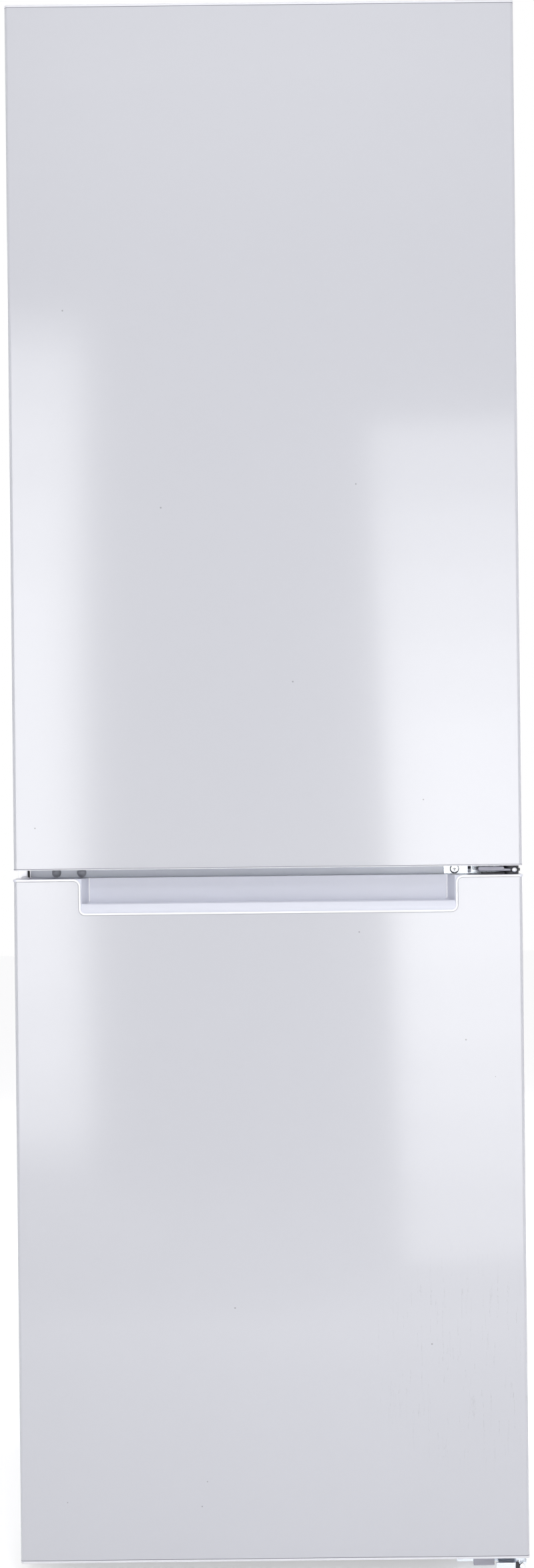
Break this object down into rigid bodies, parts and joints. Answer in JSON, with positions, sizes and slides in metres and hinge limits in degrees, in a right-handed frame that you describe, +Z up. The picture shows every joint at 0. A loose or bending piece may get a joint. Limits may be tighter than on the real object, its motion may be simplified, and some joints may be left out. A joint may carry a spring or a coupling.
{
  "type": "fridge freezer",
  "caption": "Tall white free-standing fridge freezer: larder fridge above, drawer freezer below, right-hung doors and a scooped handle in the freezer door's top edge.",
  "frame": {"origin": "on the floor, under the middle of the object's bounding box", "axes": "+Z up, -Y out of the doors, +X towards the hinge side"},
  "size_m": [0.595, 0.63, 1.85],
  "materials": {
    "white_steel": "gloss",
    "door_steel": "gloss",
    "galvanised": "satin",
    "hinge_steel": "satin",
    "screw_steel": "polished",
    "grey_steel": "satin",
    "black_steel": "satin",
    "evaporator_steel": "gloss",
    "aluminium": "satin",
    "copper": "satin",
    "white_plastic": "satin",
    "lining": "gloss",
    "grey_plastic": "satin",
    "black_plastic": "satin",
    "clear_plastic": "gloss",
    "glass": "gloss",
    "bulb_glass": "gloss",
    "seal": "matte",
    "black_rubber": "matte",
    "foam": "matte"
  },
  "bodies": {
    "cabinet": {"side_panel_left": "white_steel", "side_panel_right": "white_steel", "top_panel": "white_steel", "rear_panel": "galvanised", "base_pan": "galvanised", "mid_crossbar": "grey_steel", "bottom_rail": "grey_steel", "fridge_liner": "lining", "freezer_liner": "lining", "cabinet_foam": "foam", "crossbar_plugs": "grey_plastic", "condenser": "black_steel", "wall_spacers": "black_plastic", "compressor": "black_steel", "compressor_grommets": "black_rubber", "compressor_plate": "galvanised", "relay_cover": "black_plastic", "drip_tray": "black_plastic", "refrigerant_pipes": "copper", "filter_drier": "copper", "cold_plate": "aluminium", "freezer_evaporator": "evaporator_steel", "drain_tube": "grey_plastic", "cord_gland": "black_rubber", "shelf_glass": "glass", "shelf_trims": "white_plastic", "crisper_cover": "glass", "control_housing": "white_plastic", "lamp_bulb": "bulb_glass", "lamp_cover": "clear_plastic", "top_hinge": "hinge_steel", "top_hinge_cover": "white_plastic", "mid_hinge": "hinge_steel", "bottom_hinge": "hinge_steel", "hinge_screws": "screw_steel"},
    "fridge_door": {"fridge_door_skin": "door_steel", "fridge_door_foam": "foam", "fridge_door_top_cap": "white_plastic", "fridge_door_bottom_cap": "white_plastic", "fridge_door_liner": "lining", "fridge_door_seal": "seal", "door_bins": "clear_plastic", "bottle_bin": "clear_plastic", "fridge_door_bushes": "black_plastic"},
    "freezer_door": {"freezer_door_skin": "door_steel", "freezer_door_foam": "foam", "freezer_handle_trim": "white_plastic", "freezer_door_bottom_cap": "white_plastic", "freezer_door_liner": "lining", "freezer_door_seal": "seal", "freezer_door_bushes": "black_plastic"},
    "crisper": {"crisper_drawer": "clear_plastic"},
    "drawer_low": {"freezer_drawer_low": "clear_plastic"},
    "drawer_mid": {"freezer_drawer_mid": "clear_plastic"},
    "drawer_top": {"freezer_drawer_top": "clear_plastic"},
    "knob": {"thermostat_knob": "white_plastic"},
    "light_switch": {"light_switch_plunger": "white_plastic"},
    "left_foot": {"foot_left": "black_plastic"},
    "right_foot": {"foot_right": "black_plastic"},
    "rollers": {"rear_rollers": "black_plastic"}
  },
  "joints": [
    {"name": "fridge_door_swing", "type": "hinge", "parent": "cabinet", "child": "fridge_door", "pos_m": [0.2855, -0.293, 0.82775], "axis": [0, 0, 1], "range_deg": [0, 120]},
    {"name": "freezer_door_swing", "type": "hinge", "parent": "cabinet", "child": "freezer_door", "pos_m": [0.2855, -0.293, 0.82775], "axis": [0, 0, 1], "range_deg": [0, 120]},
    {"name": "crisper_slide", "type": "slide", "parent": "cabinet", "child": "crisper", "axis": [0, -1, 0], "range_m": [0, 0.295]},
    {"name": "drawer_low_slide", "type": "slide", "parent": "cabinet", "child": "drawer_low", "axis": [0, -1, 0], "range_m": [0, 0.2]},
    {"name": "drawer_mid_slide", "type": "slide", "parent": "cabinet", "child": "drawer_mid", "axis": [0, -1, 0], "range_m": [0, 0.2]},
    {"name": "drawer_top_slide", "type": "slide", "parent": "cabinet", "child": "drawer_top", "axis": [0, -1, 0], "range_m": [0, 0.2]},
    {"name": "thermostat_turn", "type": "hinge", "parent": "cabinet", "child": "knob", "pos_m": [-0.07, -0.22, 1.769], "axis": [0, -1, 0], "range_deg": [0, 300]},
    {"name": "light_switch_press", "type": "slide", "parent": "cabinet", "child": "light_switch", "axis": [0, -1, 0], "range_m": [0, 0.0052]},
    {"name": "left_foot_turn", "type": "hinge", "parent": "cabinet", "child": "left_foot", "pos_m": [-0.2505, -0.221, 0.02], "axis": [0, 0, 1], "continuous": true},
    {"name": "right_foot_turn", "type": "hinge", "parent": "cabinet", "child": "right_foot", "pos_m": [0.2505, -0.221, 0.02], "axis": [0, 0, 1], "continuous": true},
    {"name": "rollers_roll", "type": "hinge", "parent": "cabinet", "child": "rollers", "pos_m": [0, 0.247, 0.02], "axis": [1, 0, 0], "continuous": true}
  ],
  "couplings": [
    {"joint": "crisper_slide", "follows": "fridge_door_swing", "m_per_rad": 0.14},
    {"joint": "light_switch_press", "follows": "fridge_door_swing", "m_per_rad": 0.0024},
    {"joint": "drawer_low_slide", "follows": "freezer_door_swing", "m_per_rad": 0.095},
    {"joint": "drawer_mid_slide", "follows": "freezer_door_swing", "m_per_rad": 0.095},
    {"joint": "drawer_top_slide", "follows": "freezer_door_swing", "m_per_rad": 0.095}
  ]
}
